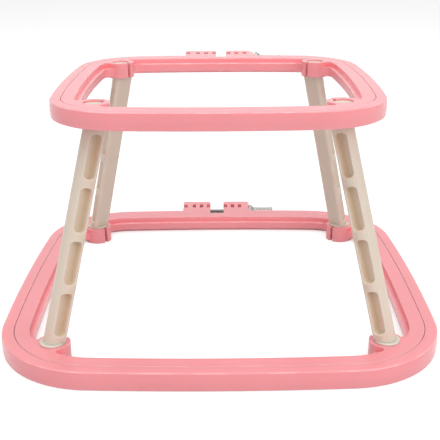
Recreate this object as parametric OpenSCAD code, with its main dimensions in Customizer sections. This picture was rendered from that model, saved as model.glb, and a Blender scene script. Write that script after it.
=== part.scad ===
// A free-standing embroidery hoop stand: a large and a small square hoop, one above the
// other, joined by four leaning plastic legs. Each hoop is an inner ring, which carries the
// leg sockets, and a split outer ring drawn together by a thumb screw in two lugs at its back.
// Millimetres, +Z up. The stand rests on z = 0, and the origin is the middle of its footprint.

/* [Lower hoop] */
// Outside width and depth of the lower hoop
lower_w = 300; // [284:2:330]
// Height of the lower hoop's section
lower_t = 13; // [11:0.5:18]
// Width of the lower outer ring's section
lower_outer_w = 8.3; // [6:0.1:12]
// Width of the lower inner ring's section at its top face
lower_inner_w = 10.2; // [8:0.1:14]
// How far the lower part of the inner ring steps inwards
lower_ledge_w = 3.2; // [1.5:0.1:5]
// Depth of the lower inner ring's ledge below its top face
lower_ledge_drop = 3.9; // [2:0.1:5.4]
// Height of that ledge's underside above the ring's own
lower_ledge_lift = 2.4; // [0.6:0.1:2.6]
// Outside radius of the lower hoop's corners
lower_corner_r = 68; // [60:1:80]
// How much farther out the lower hoop's bowed sides reach than its corner circles
lower_bow = 2; // [2:2:4]
// Width of the split in the lower outer ring
lower_split = 12.7; // [6:0.1:18]
// Place of the lower clamp along X
lower_clamp_x = -1.5; // [-4:0.1:4]
// Width of the bevel on the end of the lower lug at the screw's head
lower_bevel_w = 1.2; // [0.5:0.1:5]
// Depth of that bevel
lower_bevel_h = 1.2; // [0.5:0.1:3]

/* [Upper hoop] */
// Outside width and depth of the upper hoop
upper_w = 222; // [210:2:240]
// Height of the upper hoop's section
upper_t = 11.6; // [10:0.1:15]
// Width of the upper outer ring's section
upper_outer_w = 7.15; // [5.5:0.05:10]
// Width of the upper inner ring's section at its top face
upper_inner_w = 8.75; // [7:0.05:12]
// How far the lower part of the inner ring steps inwards
upper_ledge_w = 3.2; // [1.5:0.1:5]
// Depth of the upper inner ring's ledge below its top face
upper_ledge_drop = 3.4; // [2:0.1:5]
// Height of that ledge's underside above the ring's own
upper_ledge_lift = 1.2; // [0.6:0.1:2]
// Outside radius of the upper hoop's corners
upper_corner_r = 51; // [46:1:60]
// How much farther out the upper hoop's bowed sides reach than its corner circles
upper_bow = 2; // [2:2:4]
// Width of the split in the upper outer ring
upper_split = 8.9; // [5:0.1:14]
// Place of the upper clamp along X
upper_clamp_x = 3; // [-4:0.1:4]
// Width of the bevel on the end of the upper lug at the screw's head
upper_bevel_w = 4.8; // [0.5:0.1:6]
// Depth of that bevel
upper_bevel_h = 2.2; // [0.5:0.1:3]
// Height of the upper hoop's top face above the table
stand_h = 165; // [130:0.2:220]

/* [Sockets and legs] */
// Distance from the lower hoop's outside to the socket centres, in X and in Y
lower_socket_in = 41; // [38:0.5:45]
// Distance from the upper hoop's outside to the socket centres, in X and in Y
upper_socket_in = 32.8; // [30:0.2:38]
// Outside radius of the lower sockets
lower_socket_r = 11.4; // [10:0.1:14]
// Outside radius of the upper sockets
upper_socket_r = 10.5; // [9.5:0.1:13]
// Width of the slot that lets a socket spring open
socket_slot = 2.5; // [1.5:0.1:4]
// Radius of the fillet between a socket and the ring's ledge
ledge_fillet = 6; // [3:0.1:7]
// Radius of the fillet between a socket and the ring's wall
wall_fillet = 2; // [1:0.1:3]
// Diameter of the pegs on the legs' ends
peg_d = 13; // [10:0.1:14]
// Radial clearance between a peg and its socket
peg_clear = 0.1; // [0.05:0.01:0.1]
// Depth of the upper pegs' ends below the hoop's top face
peg_sink = 1; // [0.2:0.1:2]
// Width of a leg across its pocketed faces
leg_b = 15.6; // [13:0.1:18]
// Reach of a leg's rounded back outwards from its axis
leg_out = 6; // [5:0.1:8]
// Reach of a leg's flat front inwards from its axis
leg_in = 5.5; // [4.5:0.1:7]
// Corner radius of a leg's flat front
leg_edge_r = 2.5; // [1:0.1:3]
// Thickness of the web left between the pockets
leg_web = 5.8; // [3:0.1:8]
// Width of the pockets
pocket_w = 7.2; // [5:0.1:8]
// Corner radius of the pockets
pocket_r = 2.8; // [1:0.1:3.4]
// Thickness of the ribs between the pockets
rib_t = 6; // [3:0.1:10]
// Number of pockets in each side of a leg
pockets = 4; // [2:1:6]
// Solid length left under the lowest pocket
foot_solid = 5.8; // [4:0.1:10]
// Solid length left above the highest pocket
head_solid = 7.6; // [5:0.1:12]
// Diameter of the flange on which a leg stands
flange_d = 17.2; // [17:0.1:22]
// Thickness of that flange
flange_t = 1.4; // [1:0.1:4]

/* [Clamps] */
// Reach of the lugs behind the outer ring
lug_d = 24.4; // [18:0.1:30]
// Width of the lug that holds the nut
nut_lug_w = 25.8; // [20:0.1:32]
// Width of the lug at the screw's head
head_lug_w = 24.6; // [20:0.1:32]
// Corner radius of the lugs
lug_r = 2.2; // [1:0.1:4]
// Depth of the screw's axis below the ring's top face
screw_drop = 5.6; // [5:0.1:7]
// Distance of the screw's axis behind the outer ring
screw_back = 12.2; // [9:0.1:15]
// Diameter of the screw's shank
screw_d = 4; // [3:0.1:5]
// Radial clearance of the shank in the lugs and the nut
screw_clear = 0.1; // [0.05:0.01:0.1]
// Radius of the screw's collar
collar_r = 6.2; // [5:0.1:7]
// Thickness of the collar's rim
collar_t = 1.3; // [0.8:0.1:3]
// Length of the taper behind the collar
taper_l = 3.8; // [2:0.1:6]
// Diameter of the knurled head
knurl_d = 7.2; // [6:0.1:8]
// Length of the knurled head
knurl_l = 17.3; // [10:0.1:22]
// Number of flutes in the knurl
flutes = 18; // [12:1:24]
// Size of the nut across its flats
nut_af = 7; // [6.5:0.1:8]
// Thickness of the nut
nut_t = 3.2; // [2:0.1:4]
// Width of the cored windows over the screw channel
core_w = 3.2; // [2:0.1:4]
// Length of the cored windows
core_l = 9; // [6:0.1:12]
// Distance between neighbouring windows
core_pitch = 6.8; // [6:0.1:7.2]
// Distance from the split to the middle of the first window, which is open to the split
core_in = 1.8; // [1.4:0.1:2.4]

/* [Fits and edges] */
// Gap between the inner and the outer ring
ring_gap = 0.3; // [0.2:0.05:0.6]
// Gap between the collar and the lug, and between the upper hoop and the legs
seat_gap = 0.1; // [0.05:0.01:0.3]
// Radius of the rings' outer edges
outer_edge_r = 1.5; // [0.5:0.1:2.5]
// Radius of the rings' edges at the seam
seam_edge_r = 0.45; // [0.2:0.05:1]
// Draft of the outer wall, from its parting line to its top and its bottom
draft = 0.3; // [0.05:0.05:0.8]
// Radius of the ledges' edges
ledge_edge_r = 1; // [0.5:0.1:1.4]
// Chamfer on the pegs' ends
peg_edge = 0.6; // [0.3:0.1:1]
// Chamfer on the ends of the screw
screw_edge = 0.5; // [0.2:0.1:0.8]
// Distance from the nut's outer face to the end of its lug
nut_inset = 0.6; // [0.4:0.1:1.5]
// Distance from the screw's tip to the end of the nut's lug
tip_inset = 0.3; // [0.1:0.1:0.4]

/* [Hidden] */

pink = "lightpink";
cream = "antiquewhite";
steel = "silver";

side_fn = 1440;
corner_fn = 192;
fine_fn = 96;
small_fn = 48;
hoop_y = -lug_d / 2;
upper_z = stand_h - upper_t;
peg_top = stand_h - peg_sink;
lower_socket_at = lower_w / 2 - lower_socket_in;
upper_socket_at = upper_w / 2 - upper_socket_in;
leg_rise = upper_z - seat_gap - lower_t;
leg_reach = (lower_socket_at - upper_socket_at) * sqrt(2);
leg_lean = atan2(leg_reach, leg_rise);
leg_l = norm([leg_reach, leg_rise]);
pocket_l = (leg_l - foot_solid - head_solid - (pockets - 1) * rib_t) / pockets;
pocket_shift = 0.65;
nut_room = 0.2;
flute_r = 0.4;
flute_depth = 0.3;
slot_w = 1;
slot_depth = 1.5;
section_top = 2 + max(lower_t, upper_t);
blend_bite = 0.02;

// A length in whole hundredths, so that arcs placed and sized with it meet without a step.
function cut_step(length) = round(100 * length) / 100;

// Distance of a corner arc's centre from the hoop's centre, in X and in Y.
function corner_at(w, corner_r, bow) = cut_step(w / 2 - corner_r - bow);

// A rectangle from [x, y] with round corners.
module round_rect(x, y, w, h, r) {
    translate([x + r, y]) square([w - 2 * r, h]);
    translate([x, y + r]) square([w, h - 2 * r]);
    for (i = [0, 1], j = [0, 1])
        translate([x + r + i * (w - 2 * r), y + r + j * (h - 2 * r)])
            circle(r, $fn = small_fn);
}

// Carries a section round a hoop: four bowed sides and four corner arcs, which meet smoothly
// on the line through the centres of both. In the section, X is the distance inwards from the
// hoop's outside.
module round_hoop(w, corner_r, bow) {
    c = corner_at(w, corner_r, bow);
    run = cut_step((c * c - bow * bow) / (2 * bow));
    side_r = run + corner_r + bow;
    turn = atan2(c, run);
    beyond = [run, c] / 4;
    for (a = [0 : 90 : 270])
        rotate(a) {
            intersection() {
                translate([c - run, 0])
                    rotate_extrude(angle = 3 * turn, start = -1.5 * turn, $fn = side_fn)
                        translate([side_r, 0]) mirror([1, 0]) children();
                translate([0, 0, -1]) linear_extrude(section_top)
                    polygon([[c, c], [c + beyond.x, c + beyond.y],
                             [c + beyond.x, -c - beyond.y], [c, -c]]);
            }
            intersection() {
                translate([c, c]) rotate_extrude(angle = 90, start = 0, $fn = corner_fn)
                    translate([corner_r, 0]) mirror([1, 0]) children();
                translate([0, 0, -1]) linear_extrude(section_top)
                    polygon([[c, c], [c + beyond.x, c + beyond.y],
                             [c + beyond.x, c + beyond.x], [c + beyond.y, c + beyond.x]]);
            }
        }
}

// Section of an outer ring: drafted outside, meeting at a parting line half way up.
module outer_section(w, t) {
    difference() {
        union() {
            round_rect(0, 0, w - 2 * seam_edge_r, t, outer_edge_r);
            round_rect(outer_edge_r, 0, w - outer_edge_r, t, seam_edge_r);
        }
        polygon([[-1, t / 2], [0, t / 2], [draft, t], [draft, t + 1], [-1, t + 1]]);
        polygon([[-1, t / 2], [0, t / 2], [draft, 0], [draft, -1], [-1, -1]]);
    }
}

// Section of an inner ring: between low and high it steps inwards and leaves a ledge.
module inner_section(x, w, t, ledge_w, low, high) {
    round_rect(x, 0, w, t, seam_edge_r);
    round_rect(x + w / 2, low, w / 2 + ledge_w, high - low, ledge_edge_r);
}

// Fills the nooks between a socket of radius r and the ring's corner arc of radius ring_r, from
// z = low to z = high, with a fillet on both sides. The filling ends inside the ring, at root_r,
// and the fillet's circle runs into the socket and the ring by the blend's bite.
module socket_blend(apart, r, ring_r, root_r, fillet, low, high) {
    reach = ring_r - fillet + blend_bite;
    swing = acos((apart * apart + reach * reach - pow(r + fillet - blend_bite, 2))
                 / (2 * apart * reach));
    for (side = [-1, 1])
        difference() {
            translate([0, 0, low]) linear_extrude(high - low)
                polygon([[apart, 0],
                         reach * [cos(swing), side * sin(swing)],
                         root_r * [cos(swing), side * sin(swing)],
                         [root_r, 0]]);
            rotate(side * swing) translate([reach, 0, low - 1])
                cylinder(r = fillet, h = high - low + 2, $fn = fine_fn);
        }
}

// Four sprung sockets at the corners, blended into the ring's wall and into its ledge.
module sockets(w, corner_r, bow, wall_r, root_r, ledge_w, low, high, at, r, t) {
    c = corner_at(w, corner_r, bow);
    apart = (at - c) * sqrt(2);
    for (a = [0 : 90 : 270])
        rotate(a) translate([c, c]) rotate(45) {
            translate([apart, 0]) cylinder(r = r, h = t, $fn = fine_fn);
            socket_blend(apart, r, wall_r, root_r, wall_fillet, 0, t);
            socket_blend(apart, r, wall_r - ledge_w, root_r, ledge_fillet, low, high);
        }
}

// The bores of the four sockets, and the slots that let them open on the side of the hoop's
// centre.
module socket_bores(at, r, t) {
    for (a = [0 : 90 : 270])
        rotate(a) translate([at, at, -1]) rotate(45) {
            cylinder(d = peg_d + 2 * peg_clear, h = t + 2, $fn = fine_fn);
            translate([-r - 2, -socket_slot / 2, 0]) cube([r + 2, socket_slot, t + 2]);
        }
}

module inner_ring(w, corner_r, bow, outer_w, inner_w, ledge_w, low, high, t, at, socket_r) {
    x = outer_w + ring_gap;
    wall_r = corner_r - x - inner_w;
    root_r = wall_r + inner_w / 2;
    difference() {
        union() {
            round_hoop(w, corner_r, bow) inner_section(x, inner_w, t, ledge_w, low, high);
            sockets(w, corner_r, bow, wall_r, root_r, ledge_w, low, high, at, socket_r, t);
        }
        socket_bores(at, socket_r, t);
    }
}

// One lug, drawn from x = 0 to x = w and backwards from the ring's outside.
module lug_body(w, t, root) {
    linear_extrude(t) {
        translate([0, -root]) square([w, lug_d + root - lug_r]);
        translate([lug_r, 0]) square([w - 2 * lug_r, lug_d]);
        for (x = [lug_r, w - lug_r])
            translate([x, lug_d - lug_r]) circle(lug_r, $fn = small_fn);
    }
}

// Windows over and under the screw channel, which free the channel from the mould. Those in
// the top and those in the underside take turns along it, and the first one in the top is open
// to the split.
module cores(split, t) {
    axis_z = t - screw_drop;
    first_x = split / 2 + core_in - core_w / 2;
    translate([first_x - core_in, screw_back - core_l / 2, axis_z])
        cube([core_w + core_in, core_l, t]);
    for (i = [1 : 2])
        translate([first_x + i * core_pitch, screw_back - core_l / 2, axis_z])
            cube([core_w, core_l, t]);
    for (i = [0 : 1])
        translate([first_x + (i + 0.5) * core_pitch, screw_back - core_l / 2, -1])
            cube([core_w, core_l, axis_z + 1]);
}

// A split outer ring with its two lugs at x = clamp_x, the screw's channel, the nut's recess
// and the bevel on the lug at the screw's head.
module outer_ring(w, corner_r, bow, outer_w, t, split, clamp_x, bevel_w, bevel_h) {
    axis_z = t - screw_drop;
    nut_h = nut_af / cos(30);
    head_x = split / 2;
    nut_x = -split / 2 - nut_lug_w;
    difference() {
        union() {
            round_hoop(w, corner_r, bow) outer_section(outer_w, t);
            translate([clamp_x + nut_x, w / 2, 0]) lug_body(nut_lug_w, t, outer_w / 2);
            translate([clamp_x + head_x, w / 2, 0]) lug_body(head_lug_w, t, outer_w / 2);
        }
        translate([clamp_x, w / 2, 0]) {
            translate([-split / 2, -outer_w - 2, -1])
                cube([split, outer_w + lug_d + 4, t + 2]);
            translate([nut_x - 1, screw_back, axis_z]) rotate([0, 90, 0])
                cylinder(d = screw_d + 2 * screw_clear, h = nut_lug_w + split + head_lug_w + 2,
                         $fn = fine_fn);
            cores(split, t);
            mirror([1, 0, 0]) cores(split, t);
            translate([nut_x - 1, screw_back - nut_h / 2 - nut_room, axis_z - nut_af / 2])
                cube([nut_t + nut_inset + 1, nut_h + 2 * nut_room, t]);
            translate([head_x + head_lug_w, lug_d + 1, t]) rotate([90, 0, 0])
                linear_extrude(lug_d + 1)
                    polygon([[-2 * bevel_w, bevel_h], [bevel_w, -2 * bevel_h],
                             [bevel_w, bevel_h]]);
        }
    }
}

// Section of a leg, with X outwards from the hoops' middle: a rounded back and a flat front.
module leg_section() {
    back_r = (leg_b * leg_b / 4 + leg_out * leg_out) / (2 * leg_out);
    intersection() {
        translate([leg_out - back_r, 0]) circle(back_r, $fn = fine_fn);
        translate([0, -leg_b / 2]) square([leg_out, leg_b]);
    }
    intersection() {
        round_rect(-leg_in, -leg_b / 2, leg_in + 2 * leg_edge_r, leg_b, leg_edge_r);
        translate([-leg_in, -leg_b / 2]) square([leg_in, leg_b]);
    }
}

// The row of pockets in one side of a leg, cut from the side face down to the web.
module leg_pockets() {
    for (i = [0 : pockets - 1])
        translate([pocket_shift, leg_web / 2, foot_solid + i * (pocket_l + rib_t)])
            rotate([90, 0, 0]) mirror([0, 0, 1])
                linear_extrude(leg_b)
                    round_rect(-pocket_w / 2, 0, pocket_w, pocket_l, pocket_r);
}

// A leg that stands at the +X +Y corner: a flanged peg in the lower socket, the leaning body,
// and a peg that ends just below the upper hoop's top.
module leg() {
    low = [lower_socket_at, lower_socket_at, 0];
    high = [upper_socket_at, upper_socket_at, 0];
    intersection() {
        translate([low.x, low.y, lower_t]) rotate(45) rotate([0, -leg_lean, 0])
            difference() {
                translate([0, 0, -leg_l]) linear_extrude(3 * leg_l) leg_section();
                leg_pockets();
                mirror([0, 1, 0]) leg_pockets();
            }
        translate([0, 0, lower_t + flange_t / 2])
            cube([lower_w, lower_w, leg_rise - flange_t / 2]);
    }
    translate([low.x, low.y, lower_t]) cylinder(d = flange_d, h = flange_t, $fn = fine_fn);
    translate([low.x, low.y, peg_edge]) cylinder(d = peg_d, h = lower_t, $fn = fine_fn);
    translate([low.x, low.y, 0])
        cylinder(d1 = peg_d - 2 * peg_edge, d2 = peg_d, h = peg_edge, $fn = fine_fn);
    translate([high.x, high.y, upper_z - seat_gap - 1])
        cylinder(d = peg_d, h = peg_top - upper_z + seat_gap + 1 - peg_edge, $fn = fine_fn);
    translate([high.x, high.y, peg_top - peg_edge])
        cylinder(d1 = peg_d, d2 = peg_d - 2 * peg_edge, h = peg_edge, $fn = fine_fn);
}

// The turned steel thumb screw, along +X from the collar's seat at x = 0: knurled head,
// tapered collar and plain shank.
module clamp_screw(split) {
    shank_l = seat_gap + head_lug_w + split + nut_lug_w - tip_inset - screw_edge;
    knurl_z = collar_t + taper_l;
    head_l = knurl_z + knurl_l;
    rotate([0, 90, 0]) {
        cylinder(r = collar_r, h = collar_t, $fn = fine_fn);
        translate([0, 0, collar_t])
            cylinder(r1 = collar_r, r2 = knurl_d / 2 - flute_depth, h = taper_l, $fn = fine_fn);
        difference() {
            union() {
                translate([0, 0, collar_t])
                    cylinder(d = knurl_d, h = head_l - collar_t - screw_edge, $fn = fine_fn);
                translate([0, 0, head_l - screw_edge])
                    cylinder(d1 = knurl_d, d2 = knurl_d - 2 * screw_edge, h = screw_edge,
                             $fn = fine_fn);
            }
            for (i = [0 : flutes - 1])
                rotate(i * 360 / flutes)
                    translate([knurl_d / 2 + flute_r - flute_depth, 0, knurl_z + slot_depth])
                        cylinder(r = flute_r, h = knurl_l, $fn = 16);
            translate([-knurl_d, -slot_w / 2, head_l - slot_depth])
                cube([2 * knurl_d, slot_w, slot_depth + 1]);
        }
        translate([0, 0, -shank_l]) cylinder(d = screw_d, h = shank_l, $fn = fine_fn);
        translate([0, 0, -shank_l - screw_edge])
            cylinder(d1 = screw_d - 2 * screw_edge, d2 = screw_d, h = screw_edge,
                     $fn = fine_fn);
    }
}

// The hexagon nut, from x = 0 to x = nut_t on the screw's axis, two flats level.
module clamp_nut() {
    rotate([0, 90, 0]) difference() {
        rotate(30) cylinder(d = nut_af / cos(30), h = nut_t, $fn = 6);
        translate([0, 0, -1])
            cylinder(d = screw_d + 2 * screw_clear, h = nut_t + 2, $fn = fine_fn);
    }
}

// Puts a leg's corner at the front or the back, on the left or the right.
module leg_at(x, y) {
    color(cream) translate([0, hoop_y, 0])
        mirror([x < 0 ? 1 : 0, 0, 0]) mirror([0, y < 0 ? 1 : 0, 0]) leg();
}

module lower_inner_ring() {
    color(pink) translate([0, hoop_y, 0])
        inner_ring(lower_w, lower_corner_r, lower_bow, lower_outer_w, lower_inner_w,
                   lower_ledge_w, lower_ledge_lift, lower_t - lower_ledge_drop, lower_t,
                   lower_socket_at, lower_socket_r);
}

module lower_outer_ring() {
    color(pink) translate([0, hoop_y, 0])
        outer_ring(lower_w, lower_corner_r, lower_bow, lower_outer_w, lower_t, lower_split,
                   lower_clamp_x, lower_bevel_w, lower_bevel_h);
}

module upper_inner_ring() {
    color(pink) translate([0, hoop_y, upper_z])
        inner_ring(upper_w, upper_corner_r, upper_bow, upper_outer_w, upper_inner_w,
                   upper_ledge_w, upper_ledge_lift, upper_t - upper_ledge_drop, upper_t,
                   upper_socket_at, upper_socket_r);
}

module upper_outer_ring() {
    color(pink) translate([0, hoop_y, upper_z])
        outer_ring(upper_w, upper_corner_r, upper_bow, upper_outer_w, upper_t, upper_split,
                   upper_clamp_x, upper_bevel_w, upper_bevel_h);
}

module leg_front_left() { leg_at(-1, -1); }
module leg_front_right() { leg_at(1, -1); }
module leg_rear_left() { leg_at(-1, 1); }
module leg_rear_right() { leg_at(1, 1); }

module lower_clamp_screw() {
    color(steel)
        translate([lower_clamp_x + lower_split / 2 + head_lug_w + seat_gap,
                   hoop_y + lower_w / 2 + screw_back, lower_t - screw_drop])
            clamp_screw(lower_split);
}

module upper_clamp_screw() {
    color(steel)
        translate([upper_clamp_x + upper_split / 2 + head_lug_w + seat_gap,
                   hoop_y + upper_w / 2 + screw_back, stand_h - screw_drop])
            clamp_screw(upper_split);
}

module lower_clamp_nut() {
    color(steel)
        translate([lower_clamp_x + nut_inset - lower_split / 2 - nut_lug_w,
                   hoop_y + lower_w / 2 + screw_back, lower_t - screw_drop])
            clamp_nut();
}

module upper_clamp_nut() {
    color(steel)
        translate([upper_clamp_x + nut_inset - upper_split / 2 - nut_lug_w,
                   hoop_y + upper_w / 2 + screw_back, stand_h - screw_drop])
            clamp_nut();
}

lower_inner_ring();
lower_outer_ring();
upper_inner_ring();
upper_outer_ring();
leg_front_left();
leg_front_right();
leg_rear_left();
leg_rear_right();
lower_clamp_screw();
lower_clamp_nut();
upper_clamp_screw();
upper_clamp_nut();
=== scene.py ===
import math

import bmesh
import bpy
import numpy as np
from mathutils import Matrix, Vector


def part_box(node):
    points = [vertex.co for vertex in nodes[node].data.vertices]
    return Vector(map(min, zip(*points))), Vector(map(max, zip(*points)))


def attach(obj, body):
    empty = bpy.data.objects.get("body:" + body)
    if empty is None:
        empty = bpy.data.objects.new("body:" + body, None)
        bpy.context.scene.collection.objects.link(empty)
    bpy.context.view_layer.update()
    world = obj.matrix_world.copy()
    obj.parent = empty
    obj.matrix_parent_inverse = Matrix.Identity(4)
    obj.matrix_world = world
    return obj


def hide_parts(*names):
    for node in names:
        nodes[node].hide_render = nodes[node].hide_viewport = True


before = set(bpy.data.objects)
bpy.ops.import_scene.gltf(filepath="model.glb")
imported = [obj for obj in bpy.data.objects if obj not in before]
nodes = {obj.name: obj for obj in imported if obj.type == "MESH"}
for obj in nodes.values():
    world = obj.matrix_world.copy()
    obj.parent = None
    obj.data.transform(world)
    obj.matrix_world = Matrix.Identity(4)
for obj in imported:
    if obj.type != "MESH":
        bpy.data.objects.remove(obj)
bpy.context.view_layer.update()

# Hoops. Each is two square rings, one inside the other, injection moulded in a pink plastic with
# a soft gloss. The inner ring carries the four sockets for the legs, and the outer one is split
# at the back between two lugs, which the thumb screw draws together.


def moulded_plastic(name, colour, roughness, cloud, ripple, by_slope):
    """A moulded plastic. The colour drifts by the share cloud between faint clouds of the
    pigment, the gloss drifts with fine scuffs, and the skin has ripples of the height ripple, in
    metres. Worn edges are paler and glossier in broken patches: they are the surfaces that
    slope between level and upright, or the points whose wear attribute is high. Where that
    attribute is below zero, in recesses, the colour is darker and browner: painted shade."""
    material = bpy.data.materials.new(name)
    material.use_nodes = True
    tree = material.node_tree
    shader = tree.nodes["Principled BSDF"]
    shader.inputs["IOR"].default_value = 1.5
    shader.inputs["Subsurface Weight"].default_value = 0.4
    shader.inputs["Subsurface Radius"].default_value = (1.0, 0.45, 0.4)
    shader.inputs["Subsurface Scale"].default_value = 0.006
    place = tree.nodes.new("ShaderNodeTexCoord")
    clouds = tree.nodes.new("ShaderNodeTexNoise")
    clouds.inputs["Scale"].default_value = 14.0
    clouds.inputs["Detail"].default_value = 3.0
    tree.links.new(place.outputs["Object"], clouds.inputs["Vector"])
    pigment = tree.nodes.new("ShaderNodeValToRGB")
    pigment.color_ramp.elements[0].position = 0.35
    pigment.color_ramp.elements[1].position = 0.65
    pigment.color_ramp.elements[0].color = [c * (1 - cloud) for c in colour] + [1]
    pigment.color_ramp.elements[1].color = [min(1, c * (1 + cloud)) for c in colour] + [1]
    tree.links.new(clouds.outputs["Fac"], pigment.inputs["Fac"])

    scuffs = tree.nodes.new("ShaderNodeTexNoise")
    scuffs.inputs["Scale"].default_value = 90.0
    scuffs.inputs["Detail"].default_value = 6.0
    tree.links.new(place.outputs["Object"], scuffs.inputs["Vector"])
    edge = tree.nodes.new("ShaderNodeValToRGB")
    body_colour = pigment.outputs["Color"]
    if by_slope:
        shape = tree.nodes.new("ShaderNodeNewGeometry")
        parts = tree.nodes.new("ShaderNodeSeparateXYZ")
        tree.links.new(shape.outputs["Normal"], parts.inputs["Vector"])
        steep = tree.nodes.new("ShaderNodeMath")
        steep.operation = "ABSOLUTE"
        tree.links.new(parts.outputs["Z"], steep.inputs[0])
        tree.links.new(steep.outputs["Value"], edge.inputs["Fac"])
        edge.color_ramp.elements[0].position = 0.12
        edge.color_ramp.elements[1].position = 0.97
        for position, share in ((0.35, 1), (0.85, 1)):
            edge.color_ramp.elements.new(position).color = (share, share, share, 1)
        edge.color_ramp.elements[3].color = (0, 0, 0, 1)
    else:
        wear_and_painted_shade = tree.nodes.new("ShaderNodeAttribute")
        wear_and_painted_shade.attribute_name = "wear_and_painted_shade"
        tree.links.new(wear_and_painted_shade.outputs["Fac"], edge.inputs["Fac"])
        # Painted shade: where the attribute falls below zero, at the foot of the pockets' inner walls,
        # the colour is mixed towards a darker, browner tint.
        painted_shade = tree.nodes.new("ShaderNodeMapRange")
        painted_shade.inputs["From Min"].default_value = 0.0
        painted_shade.inputs["From Max"].default_value = -1.0
        tree.links.new(wear_and_painted_shade.outputs["Fac"], painted_shade.inputs["Value"])
        painted_shade_mix = tree.nodes.new("ShaderNodeMix")
        painted_shade_mix.data_type = "RGBA"
        painted_shade_tint = (0.95, 0.86, 0.74)
        painted_shade_mix.inputs["B"].default_value = [c * d for c, d in zip(colour, painted_shade_tint)] + [1]
        tree.links.new(painted_shade.outputs["Result"], painted_shade_mix.inputs["Factor"])
        tree.links.new(pigment.outputs["Color"], painted_shade_mix.inputs["A"])
        body_colour = painted_shade_mix.outputs["Result"]
    broken = tree.nodes.new("ShaderNodeMapRange")
    broken.inputs["From Min"].default_value = 0.4
    broken.inputs["From Max"].default_value = 0.65
    broken.inputs["To Min"].default_value = 0.1
    tree.links.new(scuffs.outputs["Fac"], broken.inputs["Value"])
    wear = tree.nodes.new("ShaderNodeMath")
    wear.operation = "MULTIPLY"
    tree.links.new(edge.outputs["Color"], wear.inputs[0])
    tree.links.new(broken.outputs["Result"], wear.inputs[1])
    paler = tree.nodes.new("ShaderNodeMix")
    paler.data_type = "RGBA"
    paler.inputs["B"].default_value = [c + (1 - c) * 0.22 for c in colour] + [1]
    tree.links.new(wear.outputs["Value"], paler.inputs["Factor"])
    tree.links.new(body_colour, paler.inputs["A"])
    tree.links.new(paler.outputs["Result"], shader.inputs["Base Color"])

    gloss = tree.nodes.new("ShaderNodeMapRange")
    gloss.inputs["From Min"].default_value = 0.3
    gloss.inputs["From Max"].default_value = 0.7
    gloss.inputs["To Min"].default_value = roughness * 0.9
    gloss.inputs["To Max"].default_value = roughness * 1.1
    tree.links.new(scuffs.outputs["Fac"], gloss.inputs["Value"])
    polish = tree.nodes.new("ShaderNodeMath")
    polish.operation = "MULTIPLY_ADD"
    polish.inputs[1].default_value = -0.04 * roughness
    tree.links.new(wear.outputs["Value"], polish.inputs[0])
    tree.links.new(gloss.outputs["Result"], polish.inputs[2])
    tree.links.new(polish.outputs["Value"], shader.inputs["Roughness"])

    skin = tree.nodes.new("ShaderNodeTexNoise")
    skin.inputs["Scale"].default_value = 260.0
    skin.inputs["Detail"].default_value = 4.0
    tree.links.new(place.outputs["Object"], skin.inputs["Vector"])
    bump = tree.nodes.new("ShaderNodeBump")
    bump.inputs["Strength"].default_value = 0.35
    bump.inputs["Distance"].default_value = ripple
    tree.links.new(skin.outputs["Fac"], bump.inputs["Height"])
    tree.links.new(bump.outputs["Normal"], shader.inputs["Normal"])
    return material


pink = moulded_plastic("pink_plastic_skin", (0.93, 0.33, 0.357), 0.24, 0.03, 0.00004, True)


def dress(name, material):
    """Gives every slot of a CAD node the material."""
    for slot in range(len(nodes[name].data.materials)):
        nodes[name].data.materials[slot] = material


for name in ("lower_inner_ring", "lower_outer_ring", "upper_inner_ring", "upper_outer_ring"):
    dress(name, pink)

# Legs. Four cream plastic ones, each moulded in one piece: a flanged peg that plugs into the lower
# hoop, a leaning body with a rounded back and a row of pockets in both sides, and a peg for the
# upper hoop's socket.

cream = moulded_plastic("cream_plastic_skin", (0.71, 0.62, 0.515), 0.36, 0.03, 0.00004, False)

leg_width = 0.0156
leg_back = 0.006
leg_front = 0.0055
leg_corner_r = 0.0025
leg_web = 0.0058
pocket_width = 0.0072
pocket_corner_r = 0.0028
pocket_middle = 0.00065
pocket_count = 4
rib = 0.006
foot_solid = 0.0058
head_solid = 0.0076
peg_r = 0.0065
peg_chamfer = 0.0006
flange_r = 0.0086
flange_t = 0.0014
foot_at = 0.109
head_at = 0.0782
edge_r = 0.0004
floor_r = 0.0008
floor_rise = 0.2
seat_gap = 0.0001
cell_front = -0.0038
cell_back = 0.00495
cell_trim = 0.0006
front_flat = 0.0045
dish_r = 0.003
dish_depth = 0.0005
head_sink = 0.001
least_bend = 0.05

hoop_low, hoop_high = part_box("lower_inner_ring")
hoop_y = (hoop_low[1] + hoop_high[1]) / 2
foot_z = hoop_high[2]
head_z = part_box("upper_inner_ring")[0][2] - seat_gap
peg_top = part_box("leg_front_left")[1][2]
rise = head_z - foot_z
reach = (foot_at - head_at) * math.sqrt(2)
lean = math.atan2(reach, rise)
leg_length = math.hypot(reach, rise)
pocket_length = (leg_length - foot_solid - head_solid - (pocket_count - 1) * rib) / pocket_count


def grid_faces(rows, columns, start):
    """The four-cornered faces of a grid of points, row by row, numbered from start."""
    corner = np.arange(rows - 1)[:, None] * columns + np.arange(columns - 1)[None, :]
    ring = np.stack([corner, corner + 1, corner + columns + 1, corner + columns], axis=-1)
    return start + ring.reshape(-1, 4)


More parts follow.
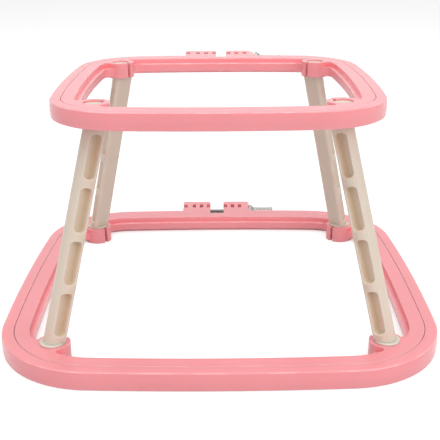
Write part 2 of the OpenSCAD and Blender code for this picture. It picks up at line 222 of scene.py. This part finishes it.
def moulding(name, sheets, material, sharp=32):
    """A piece made of grids of points, each with a fourth number: its share of wear, or where it
    is below zero, its share of painted shade. Grids that meet are merged along their common edge, the
    faces are turned outwards, and edges that bend by more than sharp degrees stay crisp."""
    starts = np.cumsum([0] + [sheet.shape[0] * sheet.shape[1] for sheet in sheets])
    points = np.concatenate([sheet.reshape(-1, 4) for sheet in sheets])
    faces = np.concatenate([grid_faces(*sheet.shape[:2], start)
                            for sheet, start in zip(sheets, starts)])
    mesh = bpy.data.meshes.new(name)
    mesh.from_pydata(points[:, :3].tolist(), [], faces.tolist())
    # The fourth number becomes an attribute: wear above zero, painted shade below zero.
    mesh.attributes.new("wear_and_painted_shade", "FLOAT", "POINT").data.foreach_set("value", points[:, 3])
    shell = bmesh.new()
    shell.from_mesh(mesh)
    bmesh.ops.remove_doubles(shell, verts=shell.verts, dist=0.000002)
    bmesh.ops.dissolve_degenerate(shell, edges=shell.edges, dist=0.0000005)
    bmesh.ops.recalc_face_normals(shell, faces=shell.faces)
    shell.to_mesh(mesh)
    shell.free()
    mesh.shade_smooth()
    mesh.set_sharp_from_angle(angle=math.radians(sharp))
    mesh.materials.append(material)
    piece = bpy.data.objects.new(name, mesh)
    bpy.context.scene.collection.objects.link(piece)
    return piece


def rounded_line(points, radii, steps=7, hold=1.15):
    """A line through the points in which each inner corner is an arc of its radius, with one
    more point close to each end of the arc, at hold times its distance from the corner."""
    points = [np.array(point, float) for point in points]
    line = [points[0]]
    for before, corner, after, radius in zip(points, points[1:], points[2:], radii):
        back = (before - corner) / np.linalg.norm(before - corner)
        on = (after - corner) / np.linalg.norm(after - corner)
        half = math.acos(max(-1.0, min(1.0, float(back @ on)))) / 2
        tangent = radius / math.tan(half)
        middle = corner + (back + on) / np.linalg.norm(back + on) * radius / math.sin(half)
        first, last = corner + back * tangent - middle, corner + on * tangent - middle
        sweep = math.pi - 2 * half
        share = np.linspace(0, 1, steps)[:, None]
        arc = (np.sin((1 - share) * sweep) * first + np.sin(share * sweep) * last) / math.sin(sweep)
        line += [corner + back * tangent * hold, *(middle + arc), corner + on * tangent * hold]
    return np.array(line + [points[-1]])


def turned(line, middle, count=64):
    """Turns a line of (radius, height) points about the upright axis through middle. Wear is
    full where the line bends and nothing where it is straight."""
    angle = np.linspace(0, 2 * math.pi, count + 1)[None, :]
    radius, height = line[:, 0][:, None], line[:, 1][:, None]
    slope = np.unwrap(np.arctan2(np.diff(line[:, 1]), np.diff(line[:, 0])))
    bent = np.pad(abs(np.diff(slope)) > least_bend, 1).astype(float)[:, None]
    return np.stack([middle[0] + radius * np.cos(angle), middle[1] + radius * np.sin(angle),
                     height + 0 * angle, bent + 0 * angle], axis=-1)


def leg_side(x):
    """Half the leg's width at x: a quarter circle at the front corner, then level, then the
    arc of the rounded back, which reaches zero at x = leg_back."""
    half = leg_width / 2
    back_r = (half ** 2 + leg_back ** 2) / (2 * leg_back)
    corner = np.clip(leg_corner_r - leg_front - x, 0, leg_corner_r)
    front = half - leg_corner_r + np.sqrt(leg_corner_r ** 2 - corner ** 2)
    back = np.sqrt(np.clip(back_r ** 2 - (x - leg_back + back_r) ** 2, 0, None))
    return np.where(x < 0, front, back)


def pocket_cell(low, high, near, far):
    """One pocket with the face round it, from z = low to high and from x = near to far. Going
    round it, each point of the rounded rim has a partner on the cell's border. Rows lead from
    the border over the rounded rim, down the wall and round its foot to the middle of the
    web, whose face rises outwards by floor_rise. Painted shade lies along the inner wall's foot."""
    middle = (low + high) / 2
    half_x, half_z = pocket_width / 2, pocket_length / 2
    turn = np.linspace(0, math.pi / 2, 9)
    across = np.linspace(-1, 1, 4)[1:-1] * (half_x - pocket_corner_r)
    along = np.linspace(-1, 1, 14)[1:-1] * (half_z - pocket_corner_r)
    corner_x, corner_z = half_x - pocket_corner_r, half_z - pocket_corner_r
    cos, sin = np.cos(turn), np.sin(turn)
    one = np.ones_like
    # The way round: +x side, then +z, -x and -z, as (arc centre, outward direction) pairs.
    centre_x = np.concatenate([one(along) * corner_x, one(turn) * corner_x, across[::-1],
                               one(turn) * -corner_x, one(along) * -corner_x,
                               one(turn) * -corner_x, across, one(turn) * corner_x])
    centre_z = np.concatenate([along, one(turn) * corner_z, one(across) * corner_z,
                               one(turn) * corner_z, along[::-1], one(turn) * -corner_z,
                               one(across) * -corner_z, one(turn) * -corner_z])
    out_x = np.concatenate([one(along), cos, 0 * across, -sin, -one(along), -cos, 0 * across, sin])
    out_z = np.concatenate([0 * along, sin, one(across), cos, 0 * along, -sin, -one(across), -cos])
    centre_x, centre_z, out_x, out_z = (np.append(v, v[0]) for v in (centre_x, centre_z, out_x, out_z))
    most = np.maximum(abs(out_x), abs(out_z))
    edge_x = np.where(out_x > 0, far - pocket_middle - corner_x, -(near - pocket_middle + corner_x))
    edge_z = np.where(out_z > 0, high - middle - corner_z, middle - low - corner_z)
    border_x = centre_x + np.round(out_x / most, 9) * abs(edge_x)
    border_z = centre_z + np.round(out_z / most, 9) * abs(edge_z)
    arc = np.linspace(0, math.pi / 2, 6)
    outset = np.concatenate([[edge_r * 1.4], edge_r * (1 - np.sin(arc)), [0],
                             -floor_r * (1 - np.cos(arc)), [-floor_r * 1.3, -pocket_corner_r]])
    sunk = np.concatenate([[0], edge_r * (1 - np.cos(arc))])
    rows_x = [border_x] + [centre_x + out_x * (pocket_corner_r + step) for step in outset]
    rows_z = [border_z] + [centre_z + out_z * (pocket_corner_r + step) for step in outset]
    rows_x.append(0 * centre_x)
    rows_z.append(np.clip(centre_z, -corner_z + corner_x, corner_z - corner_x))
    x = np.array(rows_x) + pocket_middle
    z = np.array(rows_z) + middle
    face = leg_side(x)
    ground = leg_web / 2 + floor_rise * (x - pocket_middle + half_x)
    foot = np.clip(face - 1.5 * edge_r - ground, 0.1 * floor_r, floor_r)
    y = face.copy()
    y[1:8] = face[1:8] - sunk[:, None]
    y[8] = ground[8] + foot[8]
    y[9:15] = ground[9:15] + foot[9:15] * (1 - np.sin(arc))[:, None]
    y[15:] = ground[15:]
    # Below zero is painted shade, deepest at the foot of the inner wall. The cream material turns it
    # into a darker, browner colour.
    wear = -np.clip(0.55 - 0.75 * (x - pocket_middle) / half_x, 0, 1)
    wear[:8] = 0
    wear[2:7] = 1
    return np.stack([x, y, z, wear], axis=-1)


def leg_sheets():
    """The body's grids in the leg's own space: x outwards, y across, z along. The far half of
    each is the mirror image of the near one."""
    near, far = cell_front, cell_back
    pitch = pocket_length + rib
    bounds = foot_solid - rib / 2 + np.arange(pocket_count + 1) * pitch
    bounds[0] += cell_trim
    bounds[-1] = bounds[-2] + pitch - cell_trim
    cells = [pocket_cell(low, high, near, far) for low, high in zip(bounds, bounds[1:])]
    border = np.concatenate([cell[0] for cell in cells])
    levels = np.unique(np.round(border[np.isclose(border[:, 0], far, atol=1e-8)][:, 2], 8))
    first = cells[0][0]
    steps = np.unique(np.round(first[np.isclose(first[:, 2], bounds[0], atol=1e-8)][:, 0], 8))
    bend = np.linspace(0, math.pi / 2, 13)
    corner = np.stack([leg_corner_r * (1 - np.cos(bend)) - leg_front,
                       leg_width / 2 - leg_corner_r + leg_corner_r * np.sin(bend)], axis=-1)
    corner = corner[corner[:, 0] < near - 0.00004]
    front = np.concatenate([[[-leg_front, 0], [-leg_front, front_flat]], corner,
                            [[near, leg_side(np.array(near))]]])
    back_r = (leg_width ** 2 / 4 + leg_back ** 2) / (2 * leg_back)
    ends = np.arcsin(leg_side(np.array(far)) / back_r)
    arc = np.linspace(ends, 0, 8)
    back = np.stack([leg_back - back_r + back_r * np.cos(arc), back_r * np.sin(arc)], axis=-1)
    back[0] = far, leg_side(np.array(far))
    side = np.stack([steps, leg_side(steps)], axis=-1)
    whole = np.concatenate([front[:-1], side, back[1:]])
    sheets = list(cells)
    for strip in (front, back):
        wear = 0.7 * ((strip[:, 0] > -leg_front) & (strip[:, 0] < near - 0.0003))
        sheets.append(np.stack([strip[None, :, 0] + 0 * levels[:, None],
                                strip[None, :, 1] + 0 * levels[:, None],
                                levels[:, None] + 0 * wear, wear + 0 * levels[:, None]], axis=-1))
    cut_low = (flange_t / 2 - whole[:, 0] * math.sin(lean)) / math.cos(lean)
    cut_high = (rise - whole[:, 0] * math.sin(lean)) / math.cos(lean)
    for cut, bound in ((cut_low, bounds[0]), (cut_high, bounds[-1])):
        share = np.linspace(0, 1, 4)[:, None]
        height = cut[None] * (1 - share) + bound * share
        sheets.append(np.stack([whole[None, :, 0] + 0 * height, whole[None, :, 1] + 0 * height,
                                height, 0 * height], axis=-1))
        inwards = np.array([1, 0.6, 0.2, 0])[:, None]
        flat = np.stack([whole[None, :, 0] + 0 * inwards, whole[None, :, 1] * inwards,
                         cut[None] + 0 * inwards, 0 * cut[None] + 0 * inwards], axis=-1)
        sheets.append(flat)
    return sheets + [sheet * (1, -1, 1, 1) for sheet in sheets]


def stand_leg(sheet, side_x, side_y):
    """Leans a grid of the leg's own space inwards and puts it at its corner of the hoops."""
    x = sheet[..., 0] * math.cos(lean) - sheet[..., 2] * math.sin(lean)
    y = sheet[..., 1]
    z = sheet[..., 0] * math.sin(lean) + sheet[..., 2] * math.cos(lean)
    return np.stack([side_x * (foot_at + (x - y) / math.sqrt(2)),
                     side_y * (foot_at + (x + y) / math.sqrt(2)) + hoop_y,
                     foot_z + z, sheet[..., 3]], axis=-1)


body_sheets = leg_sheets()
foot_line = rounded_line([(0, 0), (peg_r - peg_chamfer / 2, 0), (peg_r, peg_chamfer),
                          (peg_r, foot_z), (flange_r, foot_z), (flange_r, foot_z + flange_t),
                          (dish_r, foot_z + flange_t), (0, foot_z + flange_t - dish_depth)],
                         (0.0004, 0.0004, 0.0003, 0.0003, 0.0005, 0.0002))
head_line = rounded_line([(0, head_z - head_sink), (peg_r, head_z - head_sink), (peg_r, peg_top),
                          (0, peg_top)], (0.0002, peg_chamfer))
for name, side_x, side_y in (("leg_front_left", -1, -1), ("leg_front_right", 1, -1),
                             ("leg_rear_left", -1, 1), ("leg_rear_right", 1, 1)):
    sheets = [stand_leg(sheet, side_x, side_y) for sheet in body_sheets]
    sheets.append(turned(foot_line, (side_x * foot_at, side_y * foot_at + hoop_y)))
    sheets.append(turned(head_line, (side_x * head_at, side_y * head_at + hoop_y)))
    leg = moulding(name + "_moulding", sheets, cream)
    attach(leg, "legs")
    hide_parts(name)

# Thumb screws. One for each clamp, turned from steel and nickel plated: a flange that bears on
# the right lug, a taper, a fluted grip with a screwdriver slot across its end, and a shank with a
# rolled thread that runs through both lugs into the nut.


def plated_steel(name, colour, roughness):
    """Nickel plate on turned steel. The colour drifts between faint stains, the gloss is worn
    by handling in patches, edges are worn bright where the wear attribute is high, and fine
    turning marks run round the part's own length, which lies along x."""
    material = bpy.data.materials.new(name)
    material.use_nodes = True
    tree = material.node_tree
    shader = tree.nodes["Principled BSDF"]
    shader.inputs["Metallic"].default_value = 1.0
    place = tree.nodes.new("ShaderNodeTexCoord")
    stain = tree.nodes.new("ShaderNodeTexNoise")
    stain.inputs["Scale"].default_value = 160.0
    stain.inputs["Detail"].default_value = 4.0
    tree.links.new(place.outputs["Object"], stain.inputs["Vector"])
    tone = tree.nodes.new("ShaderNodeValToRGB")
    tone.color_ramp.elements[0].position = 0.3
    tone.color_ramp.elements[1].position = 0.7
    tone.color_ramp.elements[0].color = [c * 0.84 for c in colour] + [1]
    tone.color_ramp.elements[1].color = [c * 1.06 for c in colour] + [1]
    tree.links.new(stain.outputs["Fac"], tone.inputs["Fac"])
    wear_and_painted_shade = tree.nodes.new("ShaderNodeAttribute")
    wear_and_painted_shade.attribute_name = "wear_and_painted_shade"
    bright = tree.nodes.new("ShaderNodeMix")
    bright.data_type = "RGBA"
    bright.inputs["B"].default_value = [min(1, c * 1.3) for c in colour] + [1]
    tree.links.new(wear_and_painted_shade.outputs["Fac"], bright.inputs["Factor"])
    tree.links.new(tone.outputs["Color"], bright.inputs["A"])
    tree.links.new(bright.outputs["Result"], shader.inputs["Base Color"])

    worn = tree.nodes.new("ShaderNodeTexNoise")
    worn.inputs["Scale"].default_value = 420.0
    worn.inputs["Detail"].default_value = 5.0
    tree.links.new(place.outputs["Object"], worn.inputs["Vector"])
    gloss = tree.nodes.new("ShaderNodeMapRange")
    gloss.inputs["From Min"].default_value = 0.3
    gloss.inputs["From Max"].default_value = 0.7
    gloss.inputs["To Min"].default_value = roughness * 0.85
    gloss.inputs["To Max"].default_value = roughness * 1.3
    tree.links.new(worn.outputs["Fac"], gloss.inputs["Value"])
    tree.links.new(gloss.outputs["Result"], shader.inputs["Roughness"])

    stretch = tree.nodes.new("ShaderNodeMapping")
    stretch.inputs["Scale"].default_value = (9000.0, 120.0, 120.0)
    tree.links.new(place.outputs["Object"], stretch.inputs["Vector"])
    marks = tree.nodes.new("ShaderNodeTexNoise")
    marks.inputs["Scale"].default_value = 1.0
    marks.inputs["Detail"].default_value = 2.0
    tree.links.new(stretch.outputs["Vector"], marks.inputs["Vector"])
    bump = tree.nodes.new("ShaderNodeBump")
    bump.inputs["Strength"].default_value = 0.3
    bump.inputs["Distance"].default_value = 0.00001
    tree.links.new(marks.outputs["Fac"], bump.inputs["Height"])
    tree.links.new(bump.outputs["Normal"], shader.inputs["Normal"])
    return material


steel = plated_steel("plated_steel_skin", (0.4, 0.395, 0.385), 0.24)

collar_r = 0.0062
collar_t = 0.0013
taper = 0.0038
grip_r = 0.0036
grip_length = 0.0173
grip_chamfer = 0.0005
flute_count = 18
flute_depth = 0.0003
flute_half = 0.31
flute_fade = 0.0005
plain_grip = 0.0019
slot_half = 0.0005
slot_depth = 0.0015
slot_lap = 0.0002
shank_r = 0.002
shank_start = 0.0005
tip_chamfer = 0.0005
thread_pitch = 0.0007
thread_depth = 0.0004
thread_start = 0.0008
thread_fade = 0.0007


def along_x(x, radius, angle, wear, axis):
    """Points at the distance radius and the angle round a level axis along x, which passes
    through axis. The point of the axis from which x is measured is its first number."""
    return np.stack(np.broadcast_arrays(axis[0] + x, axis[1] + radius * np.cos(angle),
                                        axis[2] + radius * np.sin(angle), wear), axis=-1)


def fluted_radius(angle):
    """The grip's radius at an angle: round, less a scalloped dip at each flute, which reaches
    to each side of its middle by the share flute_half of the distance between flutes."""
    off = (angle * flute_count / (2 * math.pi) + 0.5) % 1.0 - 0.5
    return grip_r - flute_depth * np.sqrt(np.clip(1 - (off / flute_half) ** 2, 0, 1))


def screw_head(axis):
    """The flange, the taper and the grip down to the slot's floor. The flutes fade in over the
    length flute_fade beyond the plain neck."""
    angle = np.linspace(0, 2 * math.pi, flute_count * 24 + 1)[None, :]
    neck = collar_t + taper * (collar_r - grip_r) / (collar_r - grip_r + flute_depth)
    body = rounded_line([(0, 0), (collar_r, 0), (collar_r, collar_t), (grip_r, neck),
                         (grip_r, neck + plain_grip)], (0.0003, 0.0003, 0.0008))
    slope = np.arctan2(np.diff(body[:, 1]), np.diff(body[:, 0]))
    bent = np.pad(abs(np.diff(slope)) > least_bend, 1) & (body[:, 0] > grip_r + 0.001)
    plain = along_x(body[:, 1][:, None], body[:, 0][:, None], angle,
                    0.8 * bent[:, None], axis)
    share = np.linspace(0, 1, 6)[1:, None]
    end = collar_t + taper + grip_length - slot_depth
    depth = np.concatenate([share ** 2 * (3 - 2 * share), np.ones((11, 1))])
    x = np.concatenate([body[-1, 1] + share * flute_fade,
                        np.linspace(body[-1, 1] + 2 * flute_fade, end, 10)[:, None], [[end]]])
    radius = grip_r - (grip_r - fluted_radius(angle)) * depth
    radius[-1] = 0
    ridges = 0.6 * depth * (fluted_radius(angle) > grip_r - 0.00001)
    return np.concatenate([plain, along_x(x, radius, angle, ridges, axis)])


def slotted_land(side, axis):
    """One of the two halves of the grip's end beside the slot: a D in outline, whose round side
    carries on the flutes and whose straight side is the slot's wall. Each row is the outline
    once round, and the first and the last are drawn together to close the ends."""
    reach = math.acos(slot_half / grip_r)
    angle = np.linspace(-reach, reach, 133)
    wall = np.linspace(1, -1, 9)[1:]
    top = collar_t + taper + grip_length
    rows = []
    for x, inset in ((top - slot_depth - slot_lap, 0), (top - grip_chamfer, 0),
                     (top - 0.6 * grip_chamfer, 0.25), (top - 0.2 * grip_chamfer, 0.65),
                     (top, 1)):
        radius = fluted_radius(angle) - inset * grip_chamfer
        across = np.maximum(radius * np.cos(angle), slot_half)
        up = radius * np.sin(angle)
        across = np.append(across, 0 * wall + slot_half)
        up = np.append(up, wall * up[-1])
        rows.append(np.stack([x + 0 * up, across, up, 0.7 * (0 < inset) + 0 * up], axis=-1))
    middle = np.array([0, grip_r / 2, 0, 0])
    rows = [rows[0] * (1, 0, 0, 0) + middle, *rows, rows[-1] * (1, 0, 0, 0) + middle]
    return np.array(rows) * (1, side, 1, 1) + np.append(axis, 0)


def shank(length, axis):
    """The threaded shank, from inside the flange to the tip. A helix: the tooth at an angle and
    an x is full where x over the pitch less the angle's share of a turn is a whole number. It
    fades out under the flange, and the tip is chamfered."""
    angle = np.linspace(0, 2 * math.pi, 37)[None, :]
    x = np.linspace(shank_start, -length, int(length / thread_pitch * 8))[:, None]
    phase = (x / thread_pitch - angle / (2 * math.pi)) % 1.0
    tooth = np.clip(abs(2 * phase - 1) * 1.3 - 0.15, 0, 1)
    fade = np.clip((-x - thread_start) / thread_fade, 0, 1)
    radius = shank_r - thread_depth * (1 - tooth) * fade
    radius = np.minimum(radius, shank_r - tip_chamfer + (x + length))
    return along_x(np.concatenate([x[:1], x, x[-1:]]), np.pad(radius, ((1, 1), (0, 0))), angle,
                   np.pad(0.5 * tooth * fade, ((1, 1), (0, 0))), axis)


for name, body in (("lower_clamp_screw", "lower_screw"), ("upper_clamp_screw", "upper_screw")):
    low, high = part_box(name)
    seat = np.array([high[0] - collar_t - taper - grip_length, (low[1] + high[1]) / 2,
                     (low[2] + high[2]) / 2])
    screw = moulding(name + "_turned",
                     [screw_head(seat), slotted_land(1, seat), slotted_land(-1, seat),
                      shank(seat[0] - low[0], seat)], steel, 25)
    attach(screw, body)
    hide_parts(name)

# Nuts. A plated hexagon nut sits in the recess of each left lug with two flats level, so that it
# can't turn. Its corners are chamfered on both faces and its bore is tapped.

nut_flats = 0.007
nut_bore = 0.0021
nut_face = 0.0034
nut_cut = 0.0003
nut_cone = 1.7
nut_thread = 0.00025


def hexagon_nut(low_x, high_x, middle):
    """The nut's skin, once round its section: the outside, where the radius is the smaller of
    the hexagon's and a cone's at each end, the far face, the countersunk and threaded bore, and
    the near face."""
    angle = np.linspace(0, 2 * math.pi, 97)[None, :]
    flat = nut_flats / 2 / np.cos(angle % (math.pi / 3) - math.pi / 6)
    deep = np.array([0, 0.00006, 0.00012, 0.0002, 0.0003, 0.0004, 0.0006])
    x = np.concatenate([low_x + deep, high_x - deep[::-1]])[:, None]
    cone = nut_face + nut_cone * np.minimum(x - low_x, high_x - x)
    outside = np.minimum(flat, cone)
    edge = 0.8 * (cone < flat + 0.0001)
    bore_x = np.linspace(high_x - nut_cut, low_x + nut_cut, 40)[:, None]
    phase = (bore_x / thread_pitch - angle / (2 * math.pi)) % 1.0
    bore = nut_bore + nut_thread * abs(2 * phase - 1)
    x = np.concatenate([x, [[high_x]], bore_x, [[low_x]], [[low_x]]])
    rim = nut_bore + nut_cut + 0 * angle
    radius = np.concatenate([outside, rim, bore, rim, outside[:1]])
    wear = np.concatenate([edge, 0 * rim, 0 * bore, 0 * rim, edge[:1]])
    return along_x(x, radius, angle, wear, (0, *middle))


for name, body in (("lower_clamp_nut", "lower_outer"), ("upper_clamp_nut", "upper_outer")):
    low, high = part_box(name)
    nut = moulding(name + "_tapped",
                   [hexagon_nut(low[0], high[0], ((low[1] + high[1]) / 2, (low[2] + high[2]) / 2))],
                   steel, 25)
    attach(nut, body)
    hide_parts(name)

# Table, backdrop, lamps and camera. A white table that runs on into a white backdrop, with a large
# soft lamp above, weaker ones in front and at both sides, and the camera in front and above.

floor_size = 6.0
floor_tone = 0.62
floor_glow = 0.55
studio_fill = 0.52
lamp_aim = (0, 0, 0.05)
camera_place = (-0.000843, -0.594999, 0.270014)

floor_mesh = bpy.data.meshes.new("table_top")
u, v = np.meshgrid(np.linspace(-0.5, 0.5, 3), np.linspace(-0.5, 0.5, 3), indexing="ij")
floor_points = np.stack([u * floor_size, v * floor_size, u * 0], axis=-1).reshape(-1, 3)
floor_mesh.from_pydata(floor_points.tolist(), [], grid_faces(3, 3, 0)[:, ::-1].tolist())
floor = bpy.data.objects.new("table_top", floor_mesh)
bpy.context.scene.collection.objects.link(floor)
floor_skin = bpy.data.materials.new("white_table")
floor_skin.use_nodes = True
floor_tree = floor_skin.node_tree
floor_shader = floor_tree.nodes["Principled BSDF"]
floor_shader.inputs["Base Color"].default_value = (floor_tone, floor_tone, floor_tone, 1)
floor_shader.inputs["Roughness"].default_value = 0.9
floor_shader.inputs["Specular IOR Level"].default_value = 0.0
floor_seen = floor_tree.nodes.new("ShaderNodeLightPath")
floor_either = floor_tree.nodes.new("ShaderNodeMath")
floor_either.operation = "MAXIMUM"
floor_tree.links.new(floor_seen.outputs["Is Camera Ray"], floor_either.inputs[0])
floor_tree.links.new(floor_seen.outputs["Is Glossy Ray"], floor_either.inputs[1])
floor_lift = floor_tree.nodes.new("ShaderNodeMath")
floor_lift.operation = "MULTIPLY"
floor_lift.inputs[1].default_value = floor_glow
floor_shader.inputs["Emission Color"].default_value = (1, 1, 1, 1)
floor_tree.links.new(floor_either.outputs["Value"], floor_lift.inputs[0])
floor_tree.links.new(floor_lift.outputs["Value"], floor_shader.inputs["Emission Strength"])
floor_mesh.materials.append(floor_skin)

world = bpy.data.worlds.new("studio")
bpy.context.scene.world = world
world.use_nodes = True
air = world.node_tree
seen = air.nodes.new("ShaderNodeLightPath")
either = air.nodes.new("ShaderNodeMath")
either.operation = "MAXIMUM"
third = air.nodes.new("ShaderNodeMath")
third.operation = "MAXIMUM"
air.links.new(seen.outputs["Is Camera Ray"], either.inputs[0])
air.links.new(seen.outputs["Is Glossy Ray"], either.inputs[1])
air.links.new(either.outputs["Value"], third.inputs[0])
air.links.new(seen.outputs["Is Transmission Ray"], third.inputs[1])
level = air.nodes.new("ShaderNodeMapRange")
level.inputs["To Min"].default_value = studio_fill
level.inputs["To Max"].default_value = 1.0
air.links.new(third.outputs["Value"], level.inputs["Value"])
air.links.new(level.outputs["Result"], air.nodes["Background"].inputs["Strength"])
air.nodes["Background"].inputs["Color"].default_value = (1, 1, 1, 1)


def soft_lamp(name, power, size, place, aim):
    """A square soft lamp at a place, turned towards the aim."""
    lamp = bpy.data.lights.new(name, "AREA")
    lamp.energy = power
    lamp.size = size
    lamp_object = bpy.data.objects.new(name, lamp)
    lamp_object.location = place
    lamp_object.rotation_euler = (Vector(aim) - Vector(place)).to_track_quat("-Z", "Y").to_euler()
    bpy.context.scene.collection.objects.link(lamp_object)


soft_lamp("lamp_above", 19.0, 2.2, (-0.1, -0.2, 1.8), lamp_aim)
soft_lamp("lamp_front", 7.0, 1.6, (0.3, -1.7, 1.0), lamp_aim)
soft_lamp("lamp_right", 8.0, 1.4, (1.5, -1.1, 0.9), lamp_aim)
soft_lamp("lamp_left", 1.5, 1.4, (-1.6, -0.9, 0.9), lamp_aim)

tilt, turn, lean_right = math.radians(20.033), math.radians(0.171), math.radians(-0.302)
ahead = Vector((math.sin(turn) * math.cos(tilt), math.cos(turn) * math.cos(tilt), -math.sin(tilt)))
level_right = Vector((math.cos(turn), -math.sin(turn), 0))
level_up = level_right.cross(ahead)
right = level_right * math.cos(lean_right) + level_up * math.sin(lean_right)
up = level_up * math.cos(lean_right) - level_right * math.sin(lean_right)
camera = bpy.data.cameras.new("camera")
camera.lens = 66.74
camera.sensor_width = 36.0
camera.clip_start = 0.01
camera_object = bpy.data.objects.new("camera", camera)
axes = Matrix((right, up, -ahead)).transposed().to_4x4()
camera_object.matrix_world = Matrix.Translation(camera_place) @ axes
bpy.context.scene.collection.objects.link(camera_object)
bpy.context.scene.camera = camera_object
bpy.context.scene.view_settings.view_transform = "Standard"
